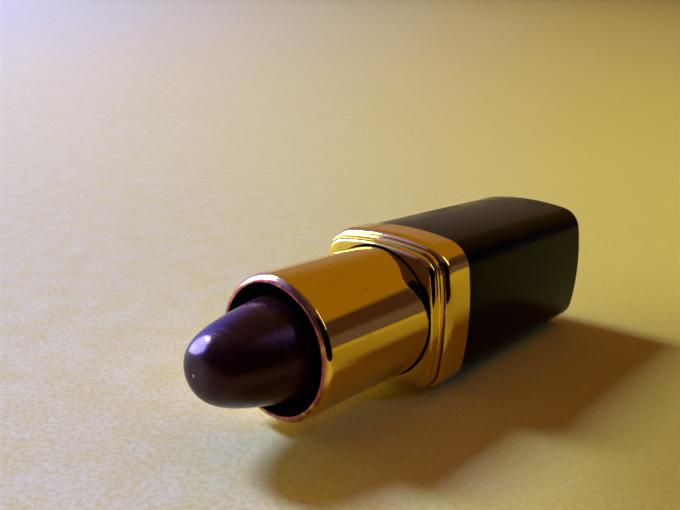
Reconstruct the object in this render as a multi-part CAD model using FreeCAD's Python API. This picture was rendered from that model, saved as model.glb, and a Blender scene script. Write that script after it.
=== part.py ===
import FreeCAD, Part

import math
import os

from FreeCAD import Vector

# Swivel-up lipstick case, lying on its side with the colour stick partly raised.
#
# Millimetres. +X runs along the case from the closed base end to the tip of the stick, +Z is up, and
# the origin is on the table under the middle of the whole thing. Twisting the round sleeve against the
# square base turns two helical grooves round two lugs of the cup, which a slotted tube keeps from
# turning, so the cup and the stick travel along X.

# Overall layout along the case, as distances from the origin.
TIP_X = 35.6                 # tip of the stick as the case lies
BASE_END_X = -35.6           # closed end of the base
MOUTH_X = 24.9               # open mouth of the sleeve
COLLAR_FACE_X = 6.05         # front face of the collar
BAND_FRONT_X = 4.25          # seam between the stepped ring and the wide band
BAND_REAR_X = -0.8           # seam between the band and the black base
AXIS_Z = 10.4                # the widest section rests on the table

# Cushion-shaped section: four bowed sides joined by tangent corner arcs.
CASE_HALF = 10.4             # centre to the middle of a side, at the band
SIDE_R = 40.0                # bow of a side
CORNER_R = 4.0               # corner

# Twist mechanism.
PITCH = 14.0                 # travel of the cup for one turn of the sleeve
TRAVEL_UP = 8.0              # from the pose as it lies to fully out
TRAVEL_DOWN = 14.0           # from the pose as it lies to fully in
LUG_X = 9.4                  # lugs of the cup, as the case lies
LUG_R = 1.0
LUG_TIP_R = 8.0              # how far out the lugs reach
RUNNING = 0.08               # radial clearance where one tube turns in another

# Colour stick and its cup.
STICK_R = 6.3
STICK_NOSE = 11.7            # length over which the stick tapers to its tip
NOSE_POWER = 3.9             # a higher power gives a blunter nose
NOSE_BLEND = 0.12            # share of the nose over which the taper sets in
NOSE_LEAN_Y = 0.16           # wear has left the tip a little off the axis
NOSE_LEAN_Z = 0.48
NOSE_SECTIONS = 12
NOSE_LEAD_IN = 0.25          # share of the nose's length added behind it as plain cylinder
CUP_WALL = 0.45
CUP_FLOOR = 1.0
CUP_BELOW_LUG = 1.5
CUP_RIM_X = 16.4
POUR_HOLE_R = 2.0
GRIP_RIBS = 6
GRIP_RIB_WIDTH = 0.5
GRIP_RIB_HEIGHT = 0.3

# Slotted tube, fixed in the base.
TUBE_INNER_R = STICK_R + CUP_WALL + 0.1
TUBE_OUTER_R = 7.45
TUBE_TOP_X = 24.0
TUBE_FLANGE_R = 7.75
TUBE_FLANGE = 0.8
SLOT_SIDE_GAP = 0.1
SLOT_END_GAP = 0.15
FOOT_R = 8.0
FOOT_TOP_X = -8.1
FOOT_BOTTOM_X = -16.7
FOOT_FLOOR = 1.2
FOOT_VENT_R = 1.5

# Grooved tube, fixed in the sleeve.
CAM_INNER_R = TUBE_OUTER_R + RUNNING
CAM_OUTER_R = 8.45
CAM_TOP_X = 23.1
CAM_BOTTOM_X = -7.6
GROOVE_FLOOR_R = 8.13
GROOVE_WIDTH = 2.4           # along X, so that a lug has 0.15 on each flank
GROOVE_RUN_ON = 15.0         # degrees of groove past the lug at the top of its travel
GROOVE_RUN_OUT = 2.0         # the groove leaves the lower end, which lets the lugs in

# Soft ring that gives the twist its drag.
RING_SECTION_R = 0.34
RING_X = -6.7
RING_SEAT_R = 7.2
RING_SEAT_HALF = 0.4
RING_HOUSING_R = 7.92
RING_HOUSING_X = -6.15

# Round metal sleeve.
SLEEVE_R = 8.85
SLEEVE_TAIL_R = 8.65         # drawn in slightly where it enters the collar
SLEEVE_TAIL_X = 6.1
LIP_R = 7.86
LIP_THICKNESS = 0.5
LIP_BACK_SLOPE = 0.05
LIP_BEND_R = 0.95
LIP_INNER_BEND_R = 0.4

# Collar: stepped ring, and the band round it.
COLLAR_BORE_R = 9.05
STEP_A_HALF = 9.4
STEP_A_LENGTH = 0.9
STEP_A_ROUND = 0.35
STEP_B_HALF = 9.8
STEP_B_ROUND = 0.3
SEAM_DEPTH = 0.25
SEAM_WIDTH = 0.2
FLANGE_HALF = 9.97
FLANGE_FRONT_X = 3.65
NECK_FRONT_X = 1.9
SKIRT_R = 9.45
SKIRT_END_X = -3.1
BORE_CHAMFER = 0.1
BAND_INNER_HALF = 10.0
BAND_MOUTH_HALF = 9.83
BAND_ROUND = 0.5
BAND_REAR_ROUND = 0.12

# Base shell.
BASE_FRONT_HALF = 10.12
BASE_END_HALF = 9.92
BASE_END_ROUND = 0.7
NECK_HALF = 9.98
CAVITY_HALF = 9.0
CAVITY_END_X = -34.0
CAVITY_FRONT_X = -3.3

# Core pressed into the base shell: it grips the slotted tube's foot and the weight.
CORE_HALF = 8.98
CORE_TUBE_R = 8.6
CORE_TOP_X = -8.5
CORE_FIN = 1.2
CORE_PAD_WIDTH = 3.0
WEIGHT_R = 7.4
WEIGHT_LENGTH = 6.0
WEIGHT_CHAMFER = 0.5
LABEL_SEAT_R = 6.5
LABEL_SEAT_DEPTH = 0.25
LABEL_R = 6.35
LABEL_THICKNESS = 0.12

ALONG = Vector(1, 0, 0)
CENTRE = Vector(0, 0, 0)
EXTRA = 1.0                  # how far a cutting shape reaches past what it cuts


def turned(points):
    """Solid of revolution about the case's axis, from (x, radius) corners."""
    corners = [Vector(x, 0, r) for x, r in points]
    outline = Part.makePolygon(corners + corners[:1])
    return Part.Face(outline).revolve(CENTRE, ALONG, 360)


def rod(x0, x1, radius):
    """Cylinder on the case's axis between two places along it."""
    return Part.makeCylinder(radius, x1 - x0, Vector(x0, 0, 0), ALONG)


def pipe(x0, x1, inner, outer):
    """Tube on the case's axis."""
    return rod(x0, x1, outer).cut(rod(x0 - EXTRA, x1 + EXTRA, inner))


def turn_about_axis(shape, degrees):
    """Copy of a shape turned about the case's axis."""
    copy = shape.copy()
    copy.rotate(CENTRE, ALONG, degrees)
    return copy


def cushion_wire(x, half):
    """Cushion outline across the case at x, offset in from the widest one to this half width."""
    offset = CASE_HALF - half
    side_r, corner_r = SIDE_R - offset, CORNER_R - offset
    side_centre = CASE_HALF - SIDE_R
    reach = SIDE_R - CORNER_R
    corner = (side_centre + math.sqrt(2 * reach**2 - side_centre**2)) / 2
    swing = math.atan2(corner, corner - side_centre)
    near = side_r * math.sin(swing)
    far = side_centre + side_r * math.cos(swing)
    middle = corner + corner_r / math.sqrt(2)
    edges = []
    for quarter in range(4):
        angle = 90.0 * quarter
        side = Part.Arc(Vector(x, -near, far), Vector(x, 0, half), Vector(x, near, far))
        bend = Part.Arc(Vector(x, near, far), Vector(x, middle, middle), Vector(x, far, near))
        for arc in (side, bend):
            edges.append(turn_about_axis(arc.toShape(), -angle))
    return Part.Wire(edges)


def cushion(x0, x1, half):
    """Cushion-shaped bar between two places along the case."""
    return Part.Face(cushion_wire(x0, half)).extrude(Vector(x1 - x0, 0, 0))


def rounded_end(bar, x, radius):
    """Rounds the outer edges that lie wholly in the plane across the case at x."""
    rim = [edge for edge in bar.Edges
           if all(abs(corner.X - x) < 1e-4 for corner in edge.Vertexes)]
    return bar.makeFillet(radius, rim)


def nose_section(share):
    """Round section of the stick's nose, at 0 where the taper starts and 1 at the tip."""
    tapered = share
    if share < NOSE_BLEND:
        tapered = max(share + NOSE_BLEND, 0) ** 2 / (4 * NOSE_BLEND)
    radius = STICK_R * (1 - tapered) ** (1 / NOSE_POWER)
    lean = max(share, 0) ** 2
    centre = Vector(TIP_X - STICK_NOSE * (1 - share), NOSE_LEAN_Y * lean, NOSE_LEAN_Z * lean)
    return Part.Wire(Part.makeCircle(radius, centre, ALONG))


def make_stick(cup):
    """Colour stick: a cylinder in the cup that tapers all the way to a blunt, worn tip."""
    foot_x = LUG_X - CUP_BELOW_LUG + CUP_FLOOR
    nose_shares = [1 - (1 - i / NOSE_SECTIONS) ** NOSE_POWER for i in range(NOSE_SECTIONS)]
    shares = [-NOSE_LEAD_IN, -NOSE_LEAD_IN / 2] + nose_shares
    nose = Part.makeLoft([nose_section(share) for share in shares], True)
    body = rod(foot_x, TIP_X - STICK_NOSE * (1 + NOSE_LEAD_IN), STICK_R)
    return body.fuse(nose).removeSplitter().cut(cup)


def make_cup():
    """Cup that holds the stick, with grip ribs inside and two lugs outside."""
    bottom = LUG_X - CUP_BELOW_LUG
    outer_r = STICK_R + CUP_WALL
    cup = rod(bottom, CUP_RIM_X, outer_r)
    cup = cup.cut(rod(bottom + CUP_FLOOR, CUP_RIM_X + EXTRA, STICK_R))
    cup = cup.cut(rod(bottom - EXTRA, CUP_RIM_X, POUR_HOLE_R))
    rib = Part.makeBox(CUP_RIM_X - bottom - 2 * CUP_FLOOR, GRIP_RIB_WIDTH, GRIP_RIB_HEIGHT + CUP_WALL / 2,
                       Vector(bottom + CUP_FLOOR / 2, -GRIP_RIB_WIDTH / 2, STICK_R - GRIP_RIB_HEIGHT))
    lug = Part.makeCylinder(LUG_R, LUG_TIP_R - STICK_R - CUP_WALL / 2,
                            Vector(LUG_X, 0, STICK_R + CUP_WALL / 2), Vector(0, 0, 1))
    ribs = [turn_about_axis(rib, 30 + 360 / GRIP_RIBS * i) for i in range(GRIP_RIBS)]
    lugs = [lug, turn_about_axis(lug, 180)]
    return cup.fuse(ribs + lugs).removeSplitter()


def make_inner_tube():
    """Slotted tube: two straight slots guide the lugs, a foot is gripped by the core."""
    outline = [
        (TUBE_TOP_X, TUBE_INNER_R), (TUBE_TOP_X, TUBE_FLANGE_R),
        (TUBE_TOP_X - TUBE_FLANGE, TUBE_FLANGE_R), (TUBE_TOP_X - TUBE_FLANGE, TUBE_OUTER_R),
        (RING_X + RING_SEAT_HALF, TUBE_OUTER_R), (RING_X + RING_SEAT_HALF, RING_SEAT_R),
        (RING_X - RING_SEAT_HALF, RING_SEAT_R), (RING_X - RING_SEAT_HALF, TUBE_OUTER_R),
        (FOOT_TOP_X, TUBE_OUTER_R), (FOOT_TOP_X, FOOT_R), (FOOT_BOTTOM_X, FOOT_R),
        (FOOT_BOTTOM_X, FOOT_VENT_R), (FOOT_BOTTOM_X + FOOT_FLOOR, FOOT_VENT_R),
        (FOOT_BOTTOM_X + FOOT_FLOOR, TUBE_INNER_R),
    ]
    tube = turned(outline)
    slot_low = LUG_X - TRAVEL_DOWN - LUG_R - SLOT_END_GAP
    slot_high = LUG_X + TRAVEL_UP + LUG_R + SLOT_END_GAP
    slot_half = LUG_R + SLOT_SIDE_GAP
    through = 2 * (FOOT_R + EXTRA)
    slots = Part.makeBox(slot_high - slot_low, 2 * slot_half, through,
                         Vector(slot_low, -slot_half, -through / 2))
    return tube.cut(slots)


def make_groove():
    """Cutting shape for one right-handed groove, which passes the lug's place as the case lies."""
    top_x = LUG_X + TRAVEL_UP + PITCH * GROOVE_RUN_ON / 360
    bottom_x = CAM_BOTTOM_X - GROOVE_RUN_OUT
    path_r = (CAM_INNER_R + GROOVE_FLOOR_R) / 2
    path = Part.makeHelix(PITCH, top_x - bottom_x, path_r)
    low_r, half = CAM_INNER_R - EXTRA / 2, GROOVE_WIDTH / 2
    section = Part.makePolygon([
        Vector(low_r, 0, -half), Vector(GROOVE_FLOOR_R, 0, -half),
        Vector(GROOVE_FLOOR_R, 0, half), Vector(low_r, 0, half), Vector(low_r, 0, -half),
    ])
    sweep = Part.BRepOffsetAPI.MakePipeShell(path)
    sweep.setFrenetMode(True)
    sweep.add(section, False, False)
    sweep.build()
    sweep.makeSolid()
    groove = sweep.shape()
    groove.rotate(CENTRE, Vector(0, 1, 0), 90)
    groove.translate(Vector(bottom_x, 0, 0))
    start_angle = 360 * (LUG_X - bottom_x) / PITCH
    return turn_about_axis(groove, 180 - start_angle)


def make_cam_tube():
    """Grooved tube: two helical grooves inside, half a turn apart, that drive the lugs."""
    tube = pipe(CAM_BOTTOM_X, CAM_TOP_X, CAM_INNER_R, CAM_OUTER_R)
    tube = tube.cut(rod(CAM_BOTTOM_X - EXTRA, RING_HOUSING_X, RING_HOUSING_R))
    groove = make_groove()
    return tube.cut([groove, turn_about_axis(groove, 180)])


def make_brake_ring():
    """Soft ring of round section in its seat near the foot of the slotted tube."""
    ring_r = RING_SEAT_R + RING_SECTION_R
    return Part.makeTorus(ring_r, RING_SECTION_R, Vector(RING_X, 0, 0), ALONG)


def make_sleeve():
    """Drawn metal sleeve with its mouth turned in to a rounded lip."""
    low_x = CAM_BOTTOM_X
    lip_back_x = MOUTH_X - LIP_THICKNESS
    bend, inner_bend = LIP_BEND_R, LIP_INNER_BEND_R
    slant = math.sqrt(0.5)
    p = {
        "tail": Vector(low_x, 0, SLEEVE_TAIL_R),
        "step_low": Vector(SLEEVE_TAIL_X, 0, SLEEVE_TAIL_R),
        "step_high": Vector(SLEEVE_TAIL_X, 0, SLEEVE_R),
        "bend_start": Vector(MOUTH_X - bend, 0, SLEEVE_R),
        "bend_middle": Vector(MOUTH_X - bend + bend * slant, 0, SLEEVE_R - bend + bend * slant),
        "bend_end": Vector(MOUTH_X, 0, SLEEVE_R - bend),
        "lip_nose": Vector(MOUTH_X - LIP_THICKNESS / 2, 0, LIP_R),
        "lip_back": Vector(lip_back_x, 0, LIP_R + LIP_BACK_SLOPE),
        "inner_start": Vector(lip_back_x, 0, CAM_OUTER_R - inner_bend),
        "inner_middle": Vector(lip_back_x - inner_bend + inner_bend * slant, 0,
                               CAM_OUTER_R - inner_bend + inner_bend * slant),
        "inner_end": Vector(lip_back_x - inner_bend, 0, CAM_OUTER_R),
        "inner_tail": Vector(low_x, 0, CAM_OUTER_R),
    }
    edges = [
        Part.LineSegment(p["tail"], p["step_low"]).toShape(),
        Part.LineSegment(p["step_low"], p["step_high"]).toShape(),
        Part.LineSegment(p["step_high"], p["bend_start"]).toShape(),
        Part.Arc(p["bend_start"], p["bend_middle"], p["bend_end"]).toShape(),
        Part.LineSegment(p["bend_end"], p["lip_nose"]).toShape(),
        Part.LineSegment(p["lip_nose"], p["lip_back"]).toShape(),
        Part.LineSegment(p["lip_back"], p["inner_start"]).toShape(),
        Part.Arc(p["inner_start"], p["inner_middle"], p["inner_end"]).toShape(),
        Part.LineSegment(p["inner_end"], p["inner_tail"]).toShape(),
        Part.LineSegment(p["inner_tail"], p["tail"]).toShape(),
    ]
    return Part.Face(Part.Wire(edges)).revolve(CENTRE, ALONG, 360)


def make_collar_ring():
    """Two-stepped ring in front of the band, with a skirt that plugs into the base."""
    step_a_rear = COLLAR_FACE_X - STEP_A_LENGTH
    step_a = rounded_end(cushion(step_a_rear - EXTRA, COLLAR_FACE_X, STEP_A_HALF),
                         COLLAR_FACE_X, STEP_A_ROUND)
    step_b = rounded_end(cushion(FLANGE_FRONT_X, step_a_rear, STEP_B_HALF), step_a_rear, STEP_B_ROUND)
    seam = cushion(BAND_FRONT_X, BAND_FRONT_X + SEAM_WIDTH, CASE_HALF).cut(
        cushion(BAND_FRONT_X, BAND_FRONT_X + SEAM_WIDTH, STEP_B_HALF - SEAM_DEPTH))
    flange = cushion(NECK_FRONT_X, FLANGE_FRONT_X, FLANGE_HALF)
    skirt = rod(SKIRT_END_X, FLANGE_FRONT_X, SKIRT_R)
    bore = rod(SKIRT_END_X - EXTRA, COLLAR_FACE_X + EXTRA, COLLAR_BORE_R)
    mouth = turned([(COLLAR_FACE_X - BORE_CHAMFER, 0), (COLLAR_FACE_X - BORE_CHAMFER, COLLAR_BORE_R),
                    (COLLAR_FACE_X, COLLAR_BORE_R + BORE_CHAMFER), (COLLAR_FACE_X, 0)])
    ring = step_b.cut(seam).fuse([step_a, flange, skirt])
    return ring.cut([bore, mouth]).removeSplitter()


def make_collar_band():
    """Wide metal band with its front edge rolled in to meet the stepped ring."""
    band = rounded_end(cushion(BAND_REAR_X, BAND_FRONT_X, CASE_HALF), BAND_FRONT_X, BAND_ROUND)
    band = rounded_end(band, BAND_REAR_X, BAND_REAR_ROUND)
    band = band.cut(cushion(BAND_REAR_X - EXTRA, FLANGE_FRONT_X, BAND_INNER_HALF))
    return band.cut(cushion(FLANGE_FRONT_X - EXTRA, BAND_FRONT_X + EXTRA, BAND_MOUTH_HALF))


def make_core():
    """Moulded core with a fin to each corner of the base and a pad to the middle of each side."""
    tube = rod(CAVITY_END_X, CORE_TOP_X, CORE_TUBE_R)
    length = CORE_TOP_X - CAVITY_END_X
    fin = Part.makeBox(length, CORE_FIN, 2 * CASE_HALF, Vector(CAVITY_END_X, -CORE_FIN / 2, 0))
    pad = Part.makeBox(length, CORE_PAD_WIDTH, 2 * CASE_HALF, Vector(CAVITY_END_X, -CORE_PAD_WIDTH / 2, 0))
    arms = []
    for quarter in range(4):
        arms.append(turn_about_axis(fin, 90 * quarter + 45))
        arms.append(turn_about_axis(pad, 90 * quarter))
    core = tube.fuse(arms).common(cushion(CAVITY_END_X, CORE_TOP_X, CORE_HALF))
    core = core.cut(rod(CAVITY_END_X - EXTRA, CORE_TOP_X + EXTRA, WEIGHT_R))
    return core.cut(rod(FOOT_BOTTOM_X, CORE_TOP_X + EXTRA, FOOT_R)).removeSplitter()


def make_base_shell():
    """Black moulded base: tapered cushion bar, hollow from the front, with a neck for the collar."""
    body = Part.makeLoft([cushion_wire(BASE_END_X, BASE_END_HALF),
                          cushion_wire(BAND_REAR_X, BASE_FRONT_HALF)], True, True)
    body = rounded_end(body, BASE_END_X, BASE_END_ROUND)
    neck = cushion(BAND_REAR_X - EXTRA, NECK_FRONT_X, NECK_HALF)
    shell = body.fuse(neck)
    shell = shell.cut(cushion(CAVITY_END_X, CAVITY_FRONT_X, CAVITY_HALF))
    shell = shell.cut(rod(CAVITY_FRONT_X - EXTRA, NECK_FRONT_X + EXTRA, SKIRT_R))
    return shell.cut(rod(BASE_END_X - EXTRA, BASE_END_X + LABEL_SEAT_DEPTH, LABEL_SEAT_R))


def make_weight():
    """Steel slug pressed into the core at the closed end of the base."""
    x0, x1 = CAVITY_END_X, CAVITY_END_X + WEIGHT_LENGTH
    return turned([(x0, 0), (x0, WEIGHT_R - WEIGHT_CHAMFER), (x0 + WEIGHT_CHAMFER, WEIGHT_R),
                   (x1 - WEIGHT_CHAMFER, WEIGHT_R), (x1, WEIGHT_R - WEIGHT_CHAMFER), (x1, 0)])


def make_label():
    """Blank round shade label in its shallow seat in the base's end."""
    seat_x = BASE_END_X + LABEL_SEAT_DEPTH
    return rod(seat_x - LABEL_THICKNESS, seat_x, LABEL_R)


def main():
    cup = make_cup()
    parts = {
        "base_shell": make_base_shell(),
        "base_core": make_core(),
        "base_weight": make_weight(),
        "shade_label": make_label(),
        "collar_ring": make_collar_ring(),
        "collar_band": make_collar_band(),
        "inner_tube": make_inner_tube(),
        "brake_ring": make_brake_ring(),
        "cam_tube": make_cam_tube(),
        "outer_sleeve": make_sleeve(),
        "carrier_cup": cup,
        "colour_stick": make_stick(cup),
    }
    os.makedirs("parts", exist_ok=True)
    for name, shape in parts.items():
        shape.translate(Vector(0, 0, AXIS_Z))
        shape.exportStep(f"parts/{name}.step")
        box = shape.BoundBox
        print(f"{name}: valid {shape.isValid()}, solids {len(shape.Solids)}, "
              f"volume {shape.Volume:.1f} mm3, x {box.XMin:.2f} to {box.XMax:.2f}")


main()
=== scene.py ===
import math

import bmesh
import bpy
from mathutils import Matrix, Vector


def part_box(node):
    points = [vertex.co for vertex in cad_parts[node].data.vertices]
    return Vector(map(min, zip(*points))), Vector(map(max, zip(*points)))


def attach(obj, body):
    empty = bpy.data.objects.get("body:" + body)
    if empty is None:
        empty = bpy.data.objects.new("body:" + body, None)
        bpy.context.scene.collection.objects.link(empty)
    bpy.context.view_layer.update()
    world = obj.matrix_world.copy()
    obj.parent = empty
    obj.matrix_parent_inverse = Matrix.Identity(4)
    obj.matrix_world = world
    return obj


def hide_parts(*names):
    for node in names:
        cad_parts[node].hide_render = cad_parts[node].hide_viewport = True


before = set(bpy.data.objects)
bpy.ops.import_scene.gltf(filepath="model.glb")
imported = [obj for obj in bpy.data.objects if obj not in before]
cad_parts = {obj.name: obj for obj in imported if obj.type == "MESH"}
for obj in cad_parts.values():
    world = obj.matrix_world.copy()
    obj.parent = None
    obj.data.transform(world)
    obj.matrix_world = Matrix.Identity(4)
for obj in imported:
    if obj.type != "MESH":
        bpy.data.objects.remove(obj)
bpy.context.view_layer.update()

MM = 0.001

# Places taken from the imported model, in metres.
SLEEVE_LOW, SLEEVE_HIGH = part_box("outer_sleeve")
BAND_LOW, BAND_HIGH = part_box("collar_band")
RING_LOW, RING_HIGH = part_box("collar_ring")
BASE_LOW, BASE_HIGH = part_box("base_shell")
STICK_LOW, STICK_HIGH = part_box("colour_stick")

CASE_HALF = (BAND_HIGH[1] - BAND_LOW[1]) / 2
SLEEVE_R = (SLEEVE_HIGH[1] - SLEEVE_LOW[1]) / 2
AXIS_Z = (BAND_LOW[2] + BAND_HIGH[2]) / 2
MOUTH_X = SLEEVE_HIGH[0]
COLLAR_FACE_X = RING_HIGH[0]
BAND_FRONT_X = BAND_HIGH[0]
BAND_REAR_X = BAND_LOW[0]
BASE_END_X = BASE_LOW[0]

# The cushion-shaped section of the collar and the base.
SIDE_R = 40 * MM
CORNER_R = 4 * MM
SIDE_POINTS = 28
CORNER_POINTS = 20
OUTLINE_POINTS = 4 * (SIDE_POINTS + CORNER_POINTS)

# Edges that turn by more than this many degrees shade as sharp.
SHARP_ANGLE = 38

# The photograph's view, as a camera aimed at a point beside the mouth.
VIEW_AZIMUTH = 131.07
VIEW_ELEVATION = 15.15
VIEW_ROLL = 1.4
VIEW_DISTANCE = 89.54 * MM
AIM_BEHIND_MOUTH = 11.594 * MM
AIM_ABOVE_AXIS = 9.062 * MM
LENS_MM = 38.74
SENSOR_MM = 36.0

# Directions from the case towards what lights it.
WINDOW_SIDE = (0.119, -0.722, 0.682)
SKY_SIDE = (0.38, -0.86, 0.34)
CEILING_SIDE = (-0.30, -0.10, 0.95)
LAMP_SIDE = (-0.435, 0.644, 0.629)


# ---------------------------------------------------------------- camera

def view_axes():
    """Right, up and backward directions of the camera."""
    azimuth, elevation = math.radians(VIEW_AZIMUTH), math.radians(VIEW_ELEVATION)
    back = Vector((math.sin(azimuth) * math.cos(elevation),
                   -math.cos(azimuth) * math.cos(elevation), math.sin(elevation)))
    right = Vector((0, 0, 1)).cross(back).normalized()
    up = back.cross(right)
    roll = math.radians(VIEW_ROLL)
    rolled_right = right * math.cos(roll) + up * math.sin(roll)
    rolled_up = up * math.cos(roll) - right * math.sin(roll)
    return rolled_right, rolled_up, back


def view_ahead():
    """Level direction that the camera looks in."""
    _, _, back = view_axes()
    return -Vector((back.x, back.y, 0)).normalized()


def add_camera():
    """Camera at the photograph's place and angle, with depth of field off."""
    right, up, back = view_axes()
    aim = Vector((MOUTH_X - AIM_BEHIND_MOUTH, 0, AXIS_Z + AIM_ABOVE_AXIS))
    data = bpy.data.cameras.new("camera")
    data.lens = LENS_MM
    data.sensor_width = SENSOR_MM
    data.clip_start = 1 * MM
    data.clip_end = 50.0
    data.dof.use_dof = False
    camera = bpy.data.objects.new("camera", data)
    turn = Matrix((right, up, back)).transposed().to_4x4()
    camera.matrix_world = Matrix.Translation(aim + back * VIEW_DISTANCE) @ turn
    bpy.context.scene.collection.objects.link(camera)
    bpy.context.scene.camera = camera


# ---------------------------------------------------------------- node helpers

class Nodes:
    """Short way to write a node tree. Its place is the position or direction that textures follow."""

    def __init__(self, tree, place):
        self.tree = tree
        self.where = self.add("ShaderNodeTexCoord").outputs[place]

    def add(self, kind, **settings):
        node = self.tree.nodes.new(kind)
        for key, value in settings.items():
            setattr(node, key, value)
        return node

    def link(self, source, target):
        self.tree.links.new(source, target)

    def plug(self, value, socket):
        """Gives an input socket a link or a plain value."""
        if isinstance(value, bpy.types.NodeSocket):
            self.link(value, socket)
        else:
            socket.default_value = value

    def math(self, operation, a, b=0.0, clamp=False):
        node = self.add("ShaderNodeMath", operation=operation, use_clamp=clamp)
        self.plug(a, node.inputs[0])
        self.plug(b, node.inputs[1])
        return node.outputs[0]

    def stretch(self, x, y, z):
        """Position scaled along each axis, which stretches a texture along the small ones."""
        node = self.add("ShaderNodeVectorMath", operation="MULTIPLY")
        self.link(self.where, node.inputs[0])
        node.inputs[1].default_value = (x, y, z)
        return node.outputs[0]

    def noise(self, scale, detail=4.0, roughness=0.55, place=None, lacunarity=2.0, distortion=0.0):
        node = self.add("ShaderNodeTexNoise")
        self.plug(place or self.where, node.inputs["Vector"])
        node.inputs["Scale"].default_value = scale
        node.inputs["Detail"].default_value = detail
        node.inputs["Roughness"].default_value = roughness
        node.inputs["Lacunarity"].default_value = lacunarity
        node.inputs["Distortion"].default_value = distortion
        return node.outputs["Fac"]

    def ramp(self, factor, low, high, to_low=0.0, to_high=1.0, smooth=True):
        """Maps low..high of a value to to_low..to_high, clamped."""
        node = self.add("ShaderNodeMapRange", clamp=True)
        if smooth:
            node.interpolation_type = "SMOOTHSTEP"
        self.plug(factor, node.inputs["Value"])
        node.inputs["From Min"].default_value = low
        node.inputs["From Max"].default_value = high
        node.inputs["To Min"].default_value = to_low
        node.inputs["To Max"].default_value = to_high
        return node.outputs["Result"]

    def mix(self, factor, a, b):
        node = self.add("ShaderNodeMix", data_type="RGBA")
        self.plug(factor, node.inputs[0])
        self.plug(a, node.inputs[6])
        self.plug(b, node.inputs[7])
        return node.outputs[2]

    def tint(self, colour, factor):
        """Multiplies two colours."""
        node = self.add("ShaderNodeVectorMath", operation="MULTIPLY")
        self.link(colour, node.inputs[0])
        self.link(factor, node.inputs[1])
        return node.outputs[0]

    def part(self, axis):
        """One coordinate of the position, in metres."""
        node = self.add("ShaderNodeSeparateXYZ")
        self.link(self.where, node.inputs[0])
        return node.outputs[axis]

    def along(self, direction):
        """How far the position lies along a direction."""
        node = self.add("ShaderNodeVectorMath", operation="DOT_PRODUCT")
        self.link(self.where, node.inputs[0])
        node.inputs[1].default_value = direction
        return node.outputs["Value"]

    def apart(self, point):
        """Distance of the position from a point, in metres."""
        node = self.add("ShaderNodeVectorMath", operation="DISTANCE")
        self.link(self.where, node.inputs[0])
        node.inputs[1].default_value = point
        return node.outputs["Value"]

    def from_axis(self):
        """Distance of the position from the case's axis, in metres."""
        moved = self.add("ShaderNodeVectorMath", operation="MULTIPLY_ADD")
        self.link(self.where, moved.inputs[0])
        moved.inputs[1].default_value = (0, 1, 1)
        moved.inputs[2].default_value = (0, 0, -AXIS_Z)
        length = self.add("ShaderNodeVectorMath", operation="LENGTH")
        self.link(moved.outputs[0], length.inputs[0])
        return length.outputs["Value"]

    def bump(self, height, strength, distance, below=None):
        node = self.add("ShaderNodeBump")
        node.inputs["Strength"].default_value = strength
        node.inputs["Distance"].default_value = distance
        self.plug(height, node.inputs["Height"])
        if below is not None:
            self.link(below, node.inputs["Normal"])
        return node.outputs["Normal"]


class Surface(Nodes):
    """Node tree of one material, with its position in the object's own axes, which are the frame's."""

    def __init__(self, name):
        self.material = bpy.data.materials.new(name)
        self.material.use_nodes = True
        super().__init__(self.material.node_tree, "Object")

    def finish(self, **inputs):
        """Gives the shader its inputs and returns the material."""
        shader = self.tree.nodes["Principled BSDF"]
        for key, value in inputs.items():
            self.plug(value, shader.inputs[key.replace("_", " ")])
        return self.material


def rgb(red, green, blue):
    return (red, green, blue, 1.0)


# ---------------------------------------------------------------- materials

def speck_mask(nodes, scale, size):
    """Sparse small specks: 1 on a speck, 0 elsewhere. A coarse noise leaves most cells empty."""
    cells = nodes.add("ShaderNodeTexVoronoi")
    nodes.link(nodes.where, cells.inputs["Vector"])
    cells.inputs["Scale"].default_value = scale
    uneven = nodes.ramp(nodes.noise(scale * 0.4, 2), 0.45, 0.62, 0.0, size)
    return nodes.ramp(nodes.math("SUBTRACT", cells.outputs["Distance"], uneven), 0.02, -0.03)


def gold(name, scratch_along, stain_and_painted_light):
    """Mirror-bright gold: faint waves, hairline scratches, specks, smudges, and plum wax rubbed in.

    The stain function gives the places that the wax has reached, as 0 to 1; on the seam's shaded side
    and the lip's bottom it also carries painted shade and painted reflection.
    """
    n = Surface(name)
    smudge = n.ramp(n.noise(190, 5, 0.6, distortion=0.6), 0.52, 0.75)
    hair = n.noise(260, 3, 0.6, place=n.stretch(*scratch_along))
    hairline = n.ramp(hair, 0.62, 0.70)
    speck = speck_mask(n, 620, 0.09)
    wax_and_painted_light = n.math("MULTIPLY", stain_and_painted_light(n), n.ramp(n.noise(900, 4, 0.6), 0.30, 0.52, 0.45, 1.0))
    colour = n.mix(n.math("MULTIPLY", smudge, 0.30), rgb(0.86, 0.61, 0.07), rgb(0.72, 0.44, 0.05))
    colour = n.mix(n.math("MULTIPLY", speck, 0.8), colour, rgb(0.16, 0.08, 0.03))
    colour = n.mix(wax_and_painted_light, colour, rgb(0.36, 0.065, 0.060))
    rough = n.math("ADD", 0.055, n.math("MULTIPLY", smudge, 0.07))
    rough = n.math("ADD", rough, n.math("MULTIPLY", hairline, 0.10))
    rough = n.math("ADD", rough, n.math("MULTIPLY", wax_and_painted_light, 0.14))
    wave = n.bump(n.noise(60, 2, 0.4), 0.10, 0.03 * MM)
    normal = n.bump(hairline, 0.25, 0.004 * MM, wave)
    normal = n.bump(wax_and_painted_light, 0.30, 0.01 * MM, normal)
    return n.finish(Base_Color=colour, Metallic=1.0, Roughness=rough, Normal=normal)


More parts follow.
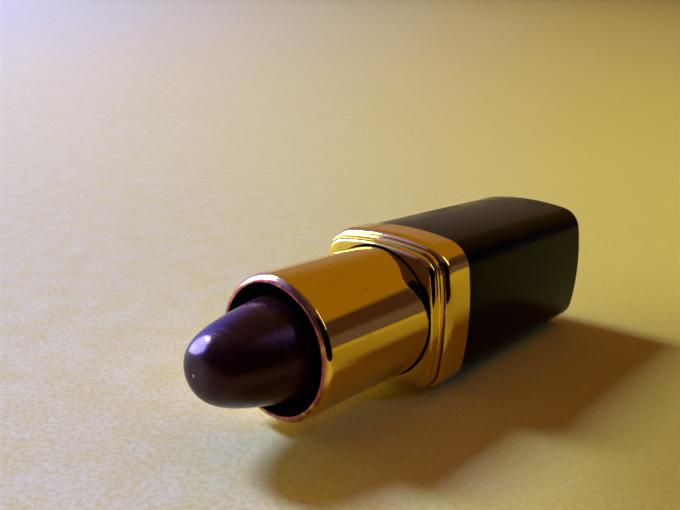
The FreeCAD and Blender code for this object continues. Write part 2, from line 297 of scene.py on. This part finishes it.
def lip_wax_and_reflection(n):
    """The inner half of the rolled lip, where the stick has brushed past, reaching further out at the
    lip's bottom, where the plum colour is partly wax and partly painted reflection of the shaded floor
    below.
    """
    # At the bottom of the lip the mark reaches further out: painted reflection of the shaded floor, in
    # the wax's colour.
    lower = n.ramp(n.part(2), AXIS_Z - 6.8 * MM, AXIS_Z - 8.5 * MM, 0.0, -0.9 * MM)
    reach = n.math("ADD", n.from_axis(), n.math("MULTIPLY", n.noise(500, 3), -0.5 * MM))
    reach = n.math("ADD", reach, lower)
    inner = n.ramp(reach, 8.55 * MM, 7.95 * MM)
    return n.math("MULTIPLY", inner, n.ramp(n.part(0), MOUTH_X - 0.8 * MM, MOUTH_X - 0.4 * MM))


def seam_stain_and_shade(n):
    """The fine seam between the stepped ring and the band: a dark joint, drawn full on the lower side
    away from the window and at 0.4 on the top and the window side, which is painted shade.
    """
    middle = BAND_FRONT_X + 0.09 * MM
    away = n.math("ABSOLUTE", n.math("SUBTRACT", n.part(0), middle))
    # Painted shade: the seam is darkest on the side away from the window.
    sideways_down = n.math("SUBTRACT", n.part(1), n.math("MULTIPLY", n.part(2), 0.9))
    painted_shade_side = n.ramp(sideways_down, -14 * MM, -8 * MM, 0.4)
    return n.math("MULTIPLY", n.ramp(away, 0.22 * MM, 0.12 * MM), painted_shade_side)


def black_gloss():
    """Black glossy plastic with smudges, fine texture and a few pale specks."""
    n = Surface("black_gloss")
    smudge = n.ramp(n.noise(120, 5, 0.65, distortion=0.8), 0.45, 0.75)
    fine = n.noise(1800, 3, 0.6)
    speck = speck_mask(n, 700, 0.06)
    colour = n.mix(smudge, rgb(0.0020, 0.0015, 0.0008), rgb(0.0045, 0.0032, 0.0018))
    colour = n.mix(n.math("MULTIPLY", speck, 0.5), colour, rgb(0.12, 0.10, 0.07))
    rough = n.ramp(smudge, 0.0, 1.0, 0.16, 0.30)
    normal = n.bump(fine, 0.15, 0.002 * MM, n.bump(n.noise(45, 2, 0.4), 0.12, 0.05 * MM))
    return n.finish(Base_Color=colour, Roughness=rough, Normal=normal, Specular_IOR_Level=0.04,
                    Specular_Tint=rgb(1.0, 0.85, 0.30))


def black_moulded():
    """Dark moulded plastic inside the case."""
    n = Surface("black_moulded")
    grain = n.noise(2500, 4, 0.6)
    colour = n.mix(n.noise(400, 4), rgb(0.0010, 0.0008, 0.0010), rgb(0.0020, 0.0016, 0.0020))
    rough = n.ramp(n.noise(500, 3), 0.3, 0.7, 0.32, 0.5)
    return n.finish(Base_Color=colour, Roughness=rough, Specular_IOR_Level=0.005,
                    Normal=n.bump(grain, 0.2, 0.004 * MM))


def core_plastic():
    """Dark grey moulded plastic of the core."""
    n = Surface("core_plastic")
    grain = n.noise(1500, 4, 0.6)
    colour = n.mix(n.noise(300, 4), rgb(0.03, 0.03, 0.032), rgb(0.055, 0.055, 0.06))
    return n.finish(Base_Color=colour, Roughness=n.ramp(grain, 0.3, 0.7, 0.45, 0.6),
                    Normal=n.bump(grain, 0.25, 0.006 * MM))


def turned_steel():
    """Steel with fine turning marks round its axis."""
    n = Surface("turned_steel")
    rings = n.noise(900, 3, 0.5, place=n.stretch(1.0, 0.05, 0.05))
    colour = n.mix(rings, rgb(0.42, 0.42, 0.43), rgb(0.62, 0.61, 0.6))
    return n.finish(Base_Color=colour, Metallic=1.0, Roughness=n.ramp(rings, 0.3, 0.7, 0.25, 0.4),
                    Normal=n.bump(rings, 0.3, 0.004 * MM))


def soft_rubber():
    """Pale grey rubber with a dusty bloom."""
    n = Surface("soft_rubber")
    bloom = n.noise(700, 4)
    colour = n.mix(bloom, rgb(0.42, 0.42, 0.40), rgb(0.56, 0.56, 0.53))
    return n.finish(Base_Color=colour, Roughness=n.ramp(bloom, 0.3, 0.7, 0.45, 0.65),
                    Normal=n.bump(bloom, 0.2, 0.004 * MM))


def label_paper():
    """Slightly yellowed label paper."""
    n = Surface("label_paper")
    fibre = n.noise(1300, 5, 0.6)
    colour = n.mix(n.ramp(n.noise(160, 4), 0.35, 0.7), rgb(0.80, 0.77, 0.71), rgb(0.70, 0.66, 0.58))
    return n.finish(Base_Color=colour, Roughness=n.ramp(fibre, 0.3, 0.7, 0.4, 0.6),
                    Normal=n.bump(fibre, 0.2, 0.005 * MM))


def stick_wax():
    """Near-black plum wax: satin, with a fine grain, rubbed patches and one pale crumb."""
    n = Surface("stick_wax")
    rubbed = n.ramp(n.noise(240, 5, 0.6, distortion=0.7), 0.42, 0.72)
    grain = n.noise(1600, 4, 0.7)
    streak = n.noise(420, 4, 0.6, place=n.stretch(0.25, 1.0, 1.0))
    colour = n.mix(rubbed, rgb(0.0120, 0.0028, 0.0022), rgb(0.019, 0.0042, 0.0045))
    colour = n.mix(n.ramp(streak, 0.5, 0.8, 0.0, 0.35), colour, rgb(0.030, 0.007, 0.006))
    crumb_place = (STICK_HIGH[0], -0.30 * MM, AXIS_Z + 0.13 * MM)
    crumb = n.ramp(n.apart(crumb_place), 0.22 * MM, 0.10 * MM)
    colour = n.mix(crumb, colour, rgb(0.45, 0.42, 0.62))
    rough = n.math("ADD", n.ramp(rubbed, 0.0, 1.0, 0.20, 0.30), n.ramp(grain, 0.3, 0.7, 0.0, 0.08))
    soft = n.bump(n.noise(170, 3, 0.5), 0.35, 0.12 * MM)
    normal = n.bump(grain, 0.8, 0.020 * MM, n.bump(streak, 0.25, 0.03 * MM, soft))
    normal = n.bump(crumb, 0.6, 0.12 * MM, normal)
    return n.finish(Base_Color=colour, Roughness=rough, Normal=normal, Specular_IOR_Level=0.34,
                    Specular_Tint=rgb(1.0, 0.40, 0.44))


def floor_paper():
    """Pale ochre paper with a fine fibre grain, and painted light on it: whiter and cooler on the
    window side, browner near the right.

    The fading opens like a fan from a point near the photograph's camera. Behind its waist, which lies
    nearer the case, it opens the other way.
    """
    n = Surface("floor_paper")
    right, _, _ = view_axes()
    ahead = n.along(view_ahead())
    fan_point, waist = 105 * MM, 34 * MM
    in_front = n.math("ADD", ahead, fan_point)
    behind = n.math("SUBTRACT", fan_point - 2 * waist, ahead)
    depth = n.math("MAXIMUM", in_front, behind)
    sideways = n.math("DIVIDE", n.along(right), depth)
    # Painted light: the paper is whiter and cooler towards the window side, and browner away from it.
    painted_window_light = n.ramp(sideways, 0.42, -0.52)
    mottle = n.ramp(n.noise(160, 6, 0.7), 0.35, 0.65)
    fibre = n.ramp(n.noise(1500, 3, 0.6), 0.40, 0.62)
    colour = n.mix(painted_window_light, rgb(0.86, 0.655, 0.068), rgb(0.90, 0.83, 0.39))
    colour = n.mix(n.math("MULTIPLY", mottle, 0.30), colour, rgb(0.80, 0.62, 0.04))
    colour = n.mix(n.math("MULTIPLY", fibre, 0.34), colour, rgb(0.72, 0.53, 0.03))
    # Painted sheen: far off, the paper is tinted a little cooler.
    far = n.ramp(ahead, 100 * MM, 900 * MM)
    colour = n.tint(colour, n.mix(far, rgb(1, 1, 1), rgb(0.92, 0.88, 1.02)))
    # Painted shade: near the case on the right, the paper is darker and browner.
    nearby = n.ramp(n.apart((0, 0, 0)), 230 * MM, 90 * MM)
    painted_shade_near_right = n.math("MULTIPLY", n.ramp(ahead, 70 * MM, -30 * MM), n.ramp(sideways, 0.05, 0.42))
    painted_shade_near_right = n.math("MULTIPLY", painted_shade_near_right, nearby)
    colour = n.tint(colour, n.mix(painted_shade_near_right, rgb(1, 1, 1), rgb(0.66, 0.59, 0.48)))
    normal = n.bump(fibre, 0.5, 0.07 * MM, n.bump(mottle, 0.15, 0.2 * MM))
    return n.finish(Base_Color=colour, Roughness=0.6, Specular_IOR_Level=0.02, Normal=normal)


def painted_light_wall():
    """Soft pale wall that glows by its own emission as painted light, a little lighter near the table.
    """
    n = Surface("painted_light_wall")
    uneven = n.ramp(n.noise(0.8, 3, 0.5), 0.3, 0.7, 0.0, 0.25)
    height = n.math("ADD", n.ramp(n.part(2), 0.0, 3.0), uneven, clamp=True)
    # Painted light: emission that is brighter near the table and darker higher up.
    glow = n.mix(height, rgb(0.66, 0.59, 0.47), rgb(0.42, 0.36, 0.29))
    return n.finish(Base_Color=rgb(0, 0, 0), Roughness=1.0, Specular_IOR_Level=0.0, Emission_Color=glow,
                    Emission_Strength=1.0)


def dark_cloth():
    """Nearly black, without any shine."""
    n = Surface("dark_card")
    nap = n.noise(40, 3, 0.6)
    colour = n.mix(nap, rgb(0.0036, 0.0018, 0.0018), rgb(0.0044, 0.0022, 0.0022))
    return n.finish(Base_Color=colour, Roughness=1.0, Specular_IOR_Level=0.0)


# ---------------------------------------------------------------- mesh helpers

def cushion_point(index, half):
    """Point of the cushion outline with this half width; the same index lies on the same normal."""
    inset = CASE_HALF - half
    side_centre = CASE_HALF - SIDE_R
    reach = SIDE_R - CORNER_R
    corner = (side_centre + math.sqrt(2 * reach**2 - side_centre**2)) / 2
    swing = math.atan2(corner, corner - side_centre)
    quarter, step = divmod(index % OUTLINE_POINTS, SIDE_POINTS + CORNER_POINTS)
    if step < SIDE_POINTS:
        angle = swing * (2 * step / SIDE_POINTS - 1)
        radius, centre = SIDE_R - inset, (0.0, side_centre)
    else:
        share = (step - SIDE_POINTS) / CORNER_POINTS
        angle = swing + (math.pi / 2 - 2 * swing) * share
        radius, centre = CORNER_R - inset, (corner, corner)
    across = centre[0] + radius * math.sin(angle)
    upward = centre[1] + radius * math.cos(angle)
    turn = quarter * math.pi / 2
    y = across * math.cos(turn) + upward * math.sin(turn)
    z = upward * math.cos(turn) - across * math.sin(turn)
    return y, z


def cushion(x, half):
    """Ring of points round the case at x, on the cushion outline with this half width."""
    points = [cushion_point(i, half) for i in range(OUTLINE_POINTS)]
    return [Vector((x, y, AXIS_Z + z)) for y, z in points]


def softened(x, half, cut):
    """Cushion outline whose corners are drawn in by this share of their reach."""
    ring = cushion(x, half)
    for point in ring:
        from_axis = math.hypot(point.y, point.z - AXIS_Z)
        cornered = min(max((from_axis - half) / (0.25 * half), 0), 1)
        point.y *= 1 - cut * cornered
        point.z = AXIS_Z + (point.z - AXIS_Z) * (1 - cut * cornered)
    return ring


def circle(x, radius, lean=(0.0, 0.0)):
    """Ring of points round the case at x, in line with the cushion outline's points."""
    ring = []
    for i in range(OUTLINE_POINTS):
        y, z = cushion_point(i, CASE_HALF)
        scale = radius / math.hypot(y, z)
        ring.append(Vector((x, y * scale + lean[0], AXIS_Z + z * scale + lean[1])))
    return ring


def rounded(corners):
    """Profile from (x, size, radius, steps) corners: each corner with a radius becomes an arc.

    A short straight run is kept at each end of an arc, so that the flats next to it shade flat.
    """
    points = []
    count = len(corners)
    for i, (x, size, radius, steps) in enumerate(corners):
        here = Vector((x, size))
        if radius <= 0:
            points.append(here)
            continue
        before = Vector(corners[i - 1][:2])
        after = Vector(corners[(i + 1) % count][:2])
        to_before, to_after = (before - here).normalized(), (after - here).normalized()
        half_angle = to_before.angle(to_after) / 2
        tangent = radius / math.tan(half_angle)
        centre = here + (to_before + to_after).normalized() * (radius / math.sin(half_angle))
        start, end = here + to_before * tangent, here + to_after * tangent
        hold = radius * 0.12
        points.append(start + to_before * hold)
        first, last = start - centre, end - centre
        sweep = first.angle_signed(last)
        for step in range(steps + 1):
            angle = -sweep * step / steps
            turned = Vector((first.x * math.cos(angle) - first.y * math.sin(angle),
                             first.x * math.sin(angle) + first.y * math.cos(angle)))
            points.append(centre + turned)
        points.append(end + to_after * hold)
    return points


def eased(x, size, depth, drop, steps=20):
    """Rounded front edge of a step: from the front face out to the side, depth long and drop high."""
    flatness = 2 / 1.75
    angles = [math.pi / 2 * i / steps for i in range(steps + 1)]
    return [Vector((x - depth * (1 - abs(math.cos(a)) ** flatness),
                    size - drop * (1 - math.sin(a) ** flatness))) for a in angles]


def add_object(name, mesh, smooth=True):
    """Object in the scene made from a bmesh, which is freed."""
    data = bpy.data.meshes.new(name)
    mesh.to_mesh(data)
    mesh.free()
    if smooth:
        data.shade_smooth()
    made = bpy.data.objects.new(name, data)
    bpy.context.scene.collection.objects.link(made)
    return made


def skin(name, rings, closed, cap_ends=(False, False)):
    """Mesh that joins each ring of points to the next, and the last to the first if closed."""
    mesh = bmesh.new()
    rows = [[mesh.verts.new(point) for point in ring] for ring in rings]
    pairs = list(zip(rows, rows[1:]))
    if closed:
        pairs.append((rows[-1], rows[0]))
    for low, high in pairs:
        for i in range(len(low)):
            j = (i + 1) % len(low)
            mesh.faces.new((low[i], low[j], high[j], high[i]))
    for wanted, row in zip(cap_ends, (rows[0], rows[-1])):
        if wanted:
            middle = mesh.verts.new(sum((v.co for v in row), Vector()) / len(row))
            for i in range(len(row)):
                mesh.faces.new((row[i], row[(i + 1) % len(row)], middle))
    bmesh.ops.recalc_face_normals(mesh, faces=mesh.faces)
    piece = add_object(name, mesh)
    piece.data.set_sharp_from_angle(angle=math.radians(SHARP_ANGLE))
    return piece


def place(piece, body, slot, material, *nodes):
    """Rides a piece on its body, gives it its material, and hides what it stands for."""
    piece.data.materials.append(material)
    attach(piece, body)
    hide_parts(*nodes)


# ---------------------------------------------------------------- pieces

def make_sleeve():
    """Round metal sleeve: rolled lip, thin cut edge inside it, and a drawn-in tail in the collar."""
    inner_r = 8.45 * MM
    lip_r = 7.86 * MM
    tail_r = 8.65 * MM
    lip_back_x = MOUTH_X - 0.5 * MM
    tail_x = COLLAR_FACE_X + 0.05 * MM
    low_x = SLEEVE_LOW[0]
    profile = rounded([
        (low_x, tail_r, 0, 0), (tail_x, tail_r, 0, 0), (tail_x, SLEEVE_R, 0.06 * MM, 4),
        (MOUTH_X, SLEEVE_R, 0.93 * MM, 24), (MOUTH_X, lip_r, 0.05 * MM, 5),
        (lip_back_x, lip_r + 0.05 * MM, 0.03 * MM, 3), (lip_back_x, inner_r, 0.3 * MM, 8),
        (low_x, inner_r, 0, 0),
    ])
    return skin("outer_sleeve_skin", [circle(x, r) for x, r in profile], closed=True)


def make_collar_ring():
    """Stepped ring in front of the band: two small rounded steps, a fine seam, flange and skirt."""
    face, step_b_x = COLLAR_FACE_X, COLLAR_FACE_X - 0.9 * MM
    bore_r, mouth, skirt_r = 9.05 * MM, 9.06 * MM, 9.45 * MM
    step_a, step_b, flange = 9.4 * MM, 9.8 * MM, 9.97 * MM
    easing, corner_cut = 0.84 * MM, 0.022
    seam_x, seam_half = BAND_FRONT_X + 0.2 * MM, 9.55 * MM
    flange_x, neck_x = BAND_FRONT_X - 0.6 * MM, BAND_FRONT_X - 2.35 * MM
    front = eased(face, step_a, easing, 0.33 * MM)[1:]
    front += [Vector((step_b_x, step_a))] + eased(step_b_x, step_b, 0.20 * MM, 0.20 * MM)
    front += rounded([
        (seam_x, step_b, 0, 0), (seam_x, seam_half, 0, 0), (BAND_FRONT_X, seam_half, 0, 0),
        (BAND_FRONT_X, step_b, 0, 0), (flange_x, step_b, 0, 0), (flange_x, flange, 0, 0),
        (neck_x, flange, 0, 0),
    ])
    rings = [circle(face - 0.02 * MM, bore_r), circle(face, mouth), circle(face, mouth + 0.01 * MM)]
    for x, half in front:
        edge = max(x - (face - easing), 0) / easing
        rings.append(softened(x, half, edge**2 * corner_cut))
    rings += [circle(neck_x, skirt_r), circle(RING_LOW[0], skirt_r), circle(RING_LOW[0], bore_r)]
    return skin("collar_ring_skin", rings, closed=True)


def make_collar_band():
    """Wide band with a softly rounded front edge, rolled in to meet the stepped ring."""
    lip_x, inner, mouth = BAND_FRONT_X - 0.6 * MM, 10.0 * MM, 9.83 * MM
    rear = rounded([(BAND_REAR_X, inner, 0, 0), (BAND_REAR_X, CASE_HALF, 0.12 * MM, 6),
                    (BAND_FRONT_X, CASE_HALF, 0, 0)])[:-1]
    front = eased(BAND_FRONT_X, CASE_HALF, 1.30 * MM, 0.565 * MM, 26)
    front.reverse()
    mouth_edge = [Vector((BAND_FRONT_X, mouth)), Vector((lip_x, mouth)), Vector((lip_x, inner))]
    profile = rear + front + mouth_edge
    return skin("collar_band_skin", [cushion(x, half) for x, half in profile], closed=True)


def make_base():
    """Black shell: tapered bowed bar with soft rear edges, a label seat and its hollow inside."""
    neck_x = BAND_FRONT_X - 2.35 * MM
    neck, front_half, end_half = 9.98 * MM, 10.12 * MM, 9.92 * MM
    skirt_r, cavity = 9.45 * MM, 9.0 * MM
    cavity_front_x, cavity_end_x = BAND_REAR_X - 2.5 * MM, BASE_END_X + 1.6 * MM
    seat_r, seat_x = 6.5 * MM, BASE_END_X + 0.25 * MM
    inside = [cushion(cavity_end_x, cavity), cushion(cavity_front_x, cavity),
              circle(cavity_front_x, skirt_r), circle(neck_x, skirt_r)]
    outside = rounded([
        (neck_x, neck, 0, 0), (BAND_REAR_X, neck, 0, 0), (BAND_REAR_X, front_half, 0.08 * MM, 5),
        (BASE_END_X, end_half, 0.68 * MM, 20), (BASE_END_X, seat_r + 1 * MM, 0, 0),
    ])
    seat = [circle(BASE_END_X, seat_r + 0.04 * MM), circle(BASE_END_X + 0.04 * MM, seat_r),
            circle(seat_x, seat_r)]
    rings = inside + [cushion(x, half) for x, half in outside] + seat
    return skin("base_shell_skin", rings, closed=False, cap_ends=(True, True))


def make_label():
    """Blank round label with a worn edge."""
    low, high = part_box("shade_label")
    radius, wear = (high[1] - low[1]) / 2, 0.02 * MM
    rings = [circle(low[0], radius - wear), circle(low[0] + wear, radius), circle(high[0], radius)]
    return skin("shade_label_skin", rings, closed=False, cap_ends=(True, True))


def flatten_tip(rings):
    """Presses the points above a leaning plane part of the way down to it: the stick's worn flat."""
    worn = Vector((STICK_HIGH[0] - 0.9 * MM, -0.1 * MM, AXIS_Z + 3.67 * MM))
    facing = Vector((0.71, -0.11, 0.69)).normalized()
    depth, blend, share = 0.28 * MM, 0.25 * MM, 0.35
    for ring in rings:
        for point in ring:
            proud = (point - worn).dot(facing) + depth
            if proud > 0:
                point -= facing * proud * share * min(proud / blend, 1)


def make_stick():
    """Colour stick: plain in its cup, then tapering to a blunt tip that wear has left off centre."""
    radius = (STICK_HIGH[1] - STICK_LOW[1]) / 2
    nose, power, blend = 11.7 * MM, 3.9, 0.12
    lean_y, lean_z = 0.16 * MM, 0.48 * MM
    body_rings, neck_rings, nose_rings, last = 12, 6, 90, 0.995
    nose_x, foot_x = STICK_HIGH[0] - nose, STICK_LOW[0]
    plain = nose_x - 3 * MM - foot_x
    rings = [circle(foot_x + plain * i / body_rings, radius) for i in range(body_rings)]
    shares = [0.25 * (i / neck_rings - 1) for i in range(neck_rings)]
    shares += [1 - (1 - last * i / nose_rings) ** power for i in range(nose_rings + 1)]
    for share in shares:
        tapered = share if share > blend else max(share + blend, 0) ** 2 / (4 * blend)
        ring_r = radius * (1 - tapered) ** (1 / power)
        lean = max(share, 0) ** 2
        rings.append(circle(nose_x + nose * share, ring_r, (lean_y * lean, lean_z * lean)))
    flatten_tip(rings)
    return skin("colour_stick_skin", rings, closed=False, cap_ends=(True, True))


# ---------------------------------------------------------------- stage

def add_floor():
    """Plain pale paper that lies flat and lifts gently far behind the case."""
    right, _, _ = view_axes()
    ahead = view_ahead()
    aside = Vector((right.x, right.y, 0)).normalized()
    flat, slope, easing, reach, half_width, steps = 0.25, math.radians(9), 0.3, 3.0, 3.0, 24
    runs = [-reach, -reach / 2, -0.5, 0.0, flat]
    runs += [flat + (reach - flat) * (i / steps) ** 2 for i in range(1, steps + 1)]
    mesh = bmesh.new()
    rows = []
    for run in runs:
        past = max(run - flat, 0)
        height = math.tan(slope) * past * past / (past + easing)
        rows.append([mesh.verts.new(ahead * run + aside * side * half_width + Vector((0, 0, height)))
                     for side in (-1, 1)])
    for near, far in zip(rows, rows[1:]):
        mesh.faces.new((near[0], near[1], far[1], far[0]))
    floor = add_object("floor", mesh)
    floor.data.materials.append(floor_paper())


def add_backdrop():
    """Round wall that arches over the table, seen past the floor's edge from the sides and the back."""
    radius, foot, sides, steps = 2.9, -0.1, 96, 24
    arch = [math.radians(90) * i / steps for i in range(steps)]
    rows = [(radius, foot)] + [(radius * math.cos(a), radius * math.sin(a)) for a in arch]
    turns = [2 * math.pi * i / sides for i in range(sides)]
    rings = [[Vector((r * math.cos(t), r * math.sin(t), z)) for t in turns] for r, z in rows]
    wall = skin("backdrop", rings, closed=False, cap_ends=(False, True))
    wall.data.materials.append(painted_light_wall())
    wall.visible_diffuse = False
    wall.visible_glossy = False
    wall.visible_shadow = False


def add_dark_card():
    """Black card on the camera's side, out of the picture, that only the metal's reflections show."""
    towards = Vector((0.36, 0.93, 0)).normalized()
    aside = Vector((-towards.y, towards.x, 0))
    distance, half_width, height = 72 * MM, 58 * MM, 75 * MM
    mesh = bmesh.new()
    corners = [towards * distance + aside * side * half_width + Vector((0, 0, top * height))
               for side, top in ((-1, 0), (1, 0), (1, 1), (-1, 1))]
    mesh.faces.new([mesh.verts.new(corner) for corner in corners])
    card = add_object("dark_card", mesh, smooth=False)
    card.data.materials.append(dark_cloth())
    card.visible_camera = False
    card.visible_shadow = False
    card.visible_diffuse = False


def add_area(name, direction, distance, size, power, colour, matt=True, gloss=True):
    """Rectangular soft light that faces the collar, for matt surfaces, glossy ones or both."""
    data = bpy.data.lights.new(name, "AREA")
    data.shape = "RECTANGLE"
    data.size, data.size_y = size
    data.energy = power
    data.color = colour
    light = bpy.data.objects.new(name, data)
    aim = Vector((COLLAR_FACE_X, 0, AXIS_Z))
    towards = Vector(direction).normalized()
    light.location = aim + towards * distance
    light.rotation_euler = towards.to_track_quat("Z", "Y").to_euler()
    light.visible_diffuse = matt
    light.visible_glossy = gloss
    bpy.context.scene.collection.objects.link(light)


def add_world():
    """Dim room that only glossy surfaces show: amber behind the case, a cool glow on the window's side,
    dark above and in front, and two low stretches on the right."""
    world = bpy.data.worlds.new("room")
    world.use_nodes = True
    n = Nodes(world.node_tree, "Generated")

    def facing(direction, low, high):
        """1 where the sky direction is within the high cosine of this one, 0 outside the low."""
        return n.ramp(n.along(Vector(direction).normalized()), low, high)

    right_side = facing((0, 1, 0), 0.15, 0.45)
    low_right = n.math("MULTIPLY", facing((0, 0, 1), 0.50, 0.42), right_side)
    lowest_right = n.math("MULTIPLY", facing((0, 0, 1), 0.24, 0.14), right_side)
    room = n.mix(facing((0, 0, 1), 0.3, 0.95), rgb(0.045, 0.020, 0.030), rgb(0.10, 0.05, 0.12))
    room = n.mix(facing((0.93, -0.1, 0.35), 0.55, 0.88), room, rgb(0.060, 0.030, 0.15))
    room = n.mix(facing((-0.9, -0.35, 0.25), 0.05, 0.40), room, rgb(0.33, 0.165, 0.010))
    room = n.mix(facing((-0.72, -0.69, 0.0), 0.80, 1.0), room, rgb(0.42, 0.26, 0.20))
    room = n.mix(facing((0.25, -0.90, 0.36), 0.64, 0.92), room, rgb(0.50, 0.56, 5.0))
    room = n.mix(low_right, room, rgb(0.065, 0.027, 0.050))
    room = n.mix(lowest_right, room, rgb(0.13, 0.085, 0.21))
    n.link(room, n.tree.nodes["Background"].inputs["Color"])
    bpy.context.scene.world = world
    world.cycles_visibility.diffuse = False


def add_lights():
    """A window and the sky beside it, each in a glossy and a matt half, a warm ceiling and a lamp."""
    window_size, sky_size = (0.45, 0.65), (0.44, 0.52)
    add_area("window", WINDOW_SIDE, 2.5, window_size, 52, (1.15, 1.4, 2.0), matt=False)
    add_area("daylight", WINDOW_SIDE, 2.5, window_size, 28.0, (1.25, 1.64, 5.0), gloss=False)
    add_area("sky_panel", SKY_SIDE, 0.8, sky_size, 7.5, (1.15, 1.4, 3.4), matt=False)
    add_area("sky_fill", SKY_SIDE, 0.8, sky_size, 5.2, (1.0, 0.82, 0.0), gloss=False)
    add_area("room_fill", CEILING_SIDE, 1.6, (2.6, 2.6), 7.5, (1.06, 0.43, 0.0), gloss=False)
    add_area("lamp", LAMP_SIDE, 1.2, (0.10, 0.60), 0.44, (1.0, 1.2, 3.8))


# ---------------------------------------------------------------- scene

def main():
    bpy.context.scene.view_settings.view_transform = "Standard"
    add_camera()
    add_floor()
    add_backdrop()
    add_dark_card()
    add_world()
    add_lights()
    sleeve_gold = gold("sleeve_gold", (0.06, 1.0, 1.0), lip_wax_and_reflection)
    collar_gold = gold("collar_gold", (1.0, 0.3, 0.3), seam_stain_and_shade)
    place(make_sleeve(), "sleeve", "sleeve_gold", sleeve_gold, "outer_sleeve")
    place(make_collar_ring(), "base", "collar_gold", collar_gold, "collar_ring")
    place(make_collar_band(), "base", "collar_gold", collar_gold, "collar_band")
    place(make_base(), "base", "base_black", black_gloss(), "base_shell")
    place(make_label(), "base", "label_paper", label_paper(), "shade_label")
    place(make_stick(), "carrier", "stick_wax", stick_wax(), "colour_stick")
    kept = {
        "base_core": core_plastic(), "base_weight": turned_steel(), "brake_ring": soft_rubber(),
        "inner_tube": black_moulded(), "cam_tube": black_moulded(), "carrier_cup": black_moulded(),
    }
    for node, material in kept.items():
        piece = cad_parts[node]
        piece.data.materials.clear()
        piece.data.materials.append(material)


main()
